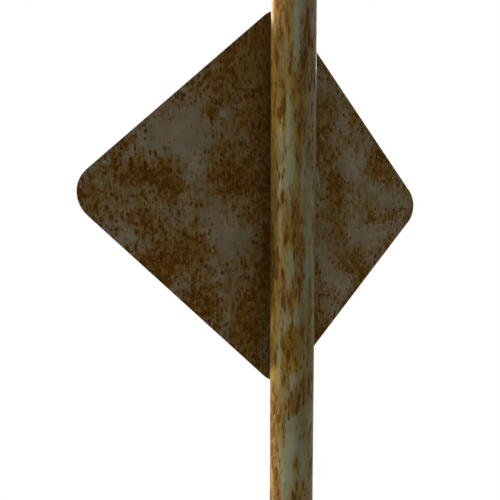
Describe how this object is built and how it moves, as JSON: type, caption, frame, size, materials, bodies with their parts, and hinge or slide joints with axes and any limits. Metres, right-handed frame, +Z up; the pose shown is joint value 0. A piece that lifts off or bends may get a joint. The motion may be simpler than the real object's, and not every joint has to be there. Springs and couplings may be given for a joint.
{
  "type": "signpost with sign",
  "caption": "Weathered round steel signpost with a square road sign standing on its point, blind-bolted to the tube, a domed cap and a gusseted bolt-down foot.",
  "frame": {"origin": "centre of the base plate's underside, on the post's axis", "axes": "+Z up the post; the sign's printed face looks along -Y and its bare back along +Y; +X is to the right for someone who faces the printed side"},
  "size_m": [0.6672, 0.25, 2.24],
  "materials": {
    "post_steel": "old grey-green paint, chalky, with ochre stains and brown rust streaks",
    "sign_steel": "dull dark grey-green back paint, broken by fine rust spots and ochre wash",
    "foot_steel": "the same old paint as the post, rusty at its edges",
    "weld_metal": "rippled weld bead, brown with rust",
    "cap_plastic": "black moulded plastic, dulled by weather",
    "white_sheeting": "white retroreflective film, faded and grimy",
    "black_sheeting": "black film line",
    "yellow_sheeting": "yellow retroreflective film, faded and grimy",
    "fixing_steel": "zinc-plated steel gone dull, with rust at its edges",
    "nylon": "natural nylon, yellowed",
    "saddle_plastic": "black moulded plastic"
  },
  "bodies": {
    "root": {"post_tube": "post_steel", "post_cap": "cap_plastic", "base_plate": "foot_steel", "gusset_front": "foot_steel", "gusset_back": "foot_steel", "gusset_left": "foot_steel", "gusset_right": "foot_steel", "foot_weld": "weld_metal", "gusset_welds": "weld_metal", "sign_plate": "sign_steel", "face_film": "white_sheeting", "rim_line_film": "black_sheeting", "centre_film": "yellow_sheeting", "upper_bolt": "fixing_steel", "upper_steel_washer": "fixing_steel", "upper_nylon_washer": "nylon", "upper_saddle": "saddle_plastic", "upper_rivet_nut": "fixing_steel", "lower_bolt": "fixing_steel", "lower_steel_washer": "fixing_steel", "lower_nylon_washer": "nylon", "lower_saddle": "saddle_plastic", "lower_rivet_nut": "fixing_steel"}
  },
  "joints": []
}
